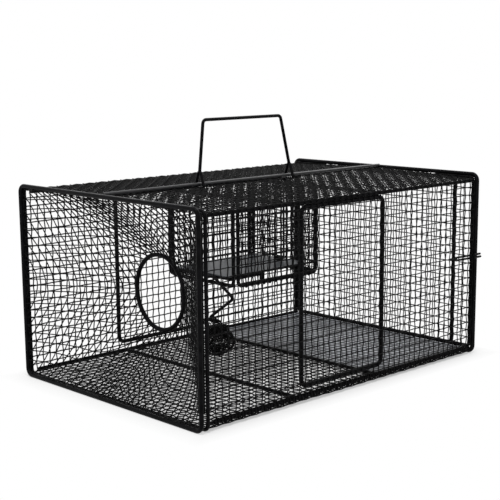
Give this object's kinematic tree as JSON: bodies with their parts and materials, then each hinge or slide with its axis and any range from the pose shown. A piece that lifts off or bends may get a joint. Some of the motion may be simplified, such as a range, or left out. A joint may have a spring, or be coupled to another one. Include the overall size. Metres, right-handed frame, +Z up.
{
  "type": "rat trap",
  "caption": "Live-catch wire mesh rat cage with a funnel entrance, a tilting bait floor with counterweight, a hinged and latched rear door and a swinging carrying handle.",
  "frame": {"origin": "on the ground, under the middle of the outer box", "axes": "+X from the funnel entrance to the door along the cage, +Y from the latch's side to the hinges' side, +Z up"},
  "size_m": [0.2956, 0.2064, 0.1927],
  "materials": {
    "frame_wire": "semi-gloss black paint",
    "mesh_wire": "semi-gloss black paint",
    "small_wire": "semi-gloss black paint",
    "sheet": "smooth satin black paint"
  },
  "bodies": {
    "cage": {"front_hoop": "frame_wire", "rear_hoop": "frame_wire", "inner_hoop": "frame_wire", "near_bottom_rod": "frame_wire", "far_bottom_rod": "frame_wire", "near_top_rod": "frame_wire", "far_top_rod": "frame_wire", "ridge_rod": "frame_wire", "front_floor_rod": "frame_wire", "rear_floor_rod": "frame_wire", "front_roof_rod": "frame_wire", "rear_roof_rod": "frame_wire", "near_side_hoop": "frame_wire", "far_side_hoop": "frame_wire", "floor_net": "mesh_wire", "near_wall_net": "mesh_wire", "far_wall_net": "mesh_wire", "near_roof_net": "mesh_wire", "far_roof_net": "mesh_wire", "entrance_funnel": "mesh_wire", "entrance_ring": "frame_wire", "gallery_front_frame": "frame_wire", "gallery_rear_frame": "frame_wire", "gallery_near_frame": "frame_wire", "gallery_far_frame": "frame_wire", "gallery_near_net": "mesh_wire", "gallery_far_net": "mesh_wire", "gallery_rear_net": "mesh_wire", "near_treadle_lug": "frame_wire", "far_treadle_lug": "frame_wire", "rear_floor_plate": "sheet", "door_hinge_rings": "small_wire"},
    "treadle": {"treadle_frame": "frame_wire", "treadle_plate": "sheet", "counterweight_arm": "frame_wire", "counterweight": "mesh_wire"},
    "bait_hook": {"bait_hook": "small_wire"},
    "door": {"door_frame": "frame_wire", "door_bar": "frame_wire", "door_net": "mesh_wire"},
    "latch": {"latch": "small_wire"},
    "handle": {"handle": "frame_wire"}
  },
  "joints": [
    {"name": "treadle_tilt", "type": "hinge", "parent": "cage", "child": "treadle", "pos_m": [-0.0304, 0, 0.0794], "axis": [0, 1, 0], "range_deg": [0, 25]},
    {"name": "bait_hook_swing", "type": "hinge", "parent": "cage", "child": "bait_hook", "pos_m": [0.01551, -0.0126, 0.14331], "axis": [0, 1, 0], "range_deg": [-3, 25]},
    {"name": "door_swing", "type": "hinge", "parent": "cage", "child": "door", "pos_m": [0.14385, 0.0955, 0.07275], "axis": [0, 0, 1], "range_deg": [0, 110]},
    {"name": "latch_swing", "type": "hinge", "parent": "door", "child": "latch", "pos_m": [0.14385, -0.078, 0.0737], "axis": [0, 0, 1], "range_deg": [0, 100]},
    {"name": "handle_swing", "type": "hinge", "parent": "cage", "child": "handle", "pos_m": [-0.0118, 0, 0.1454], "axis": [1, 0, 0], "range_deg": [-85, 85]}
  ]
}
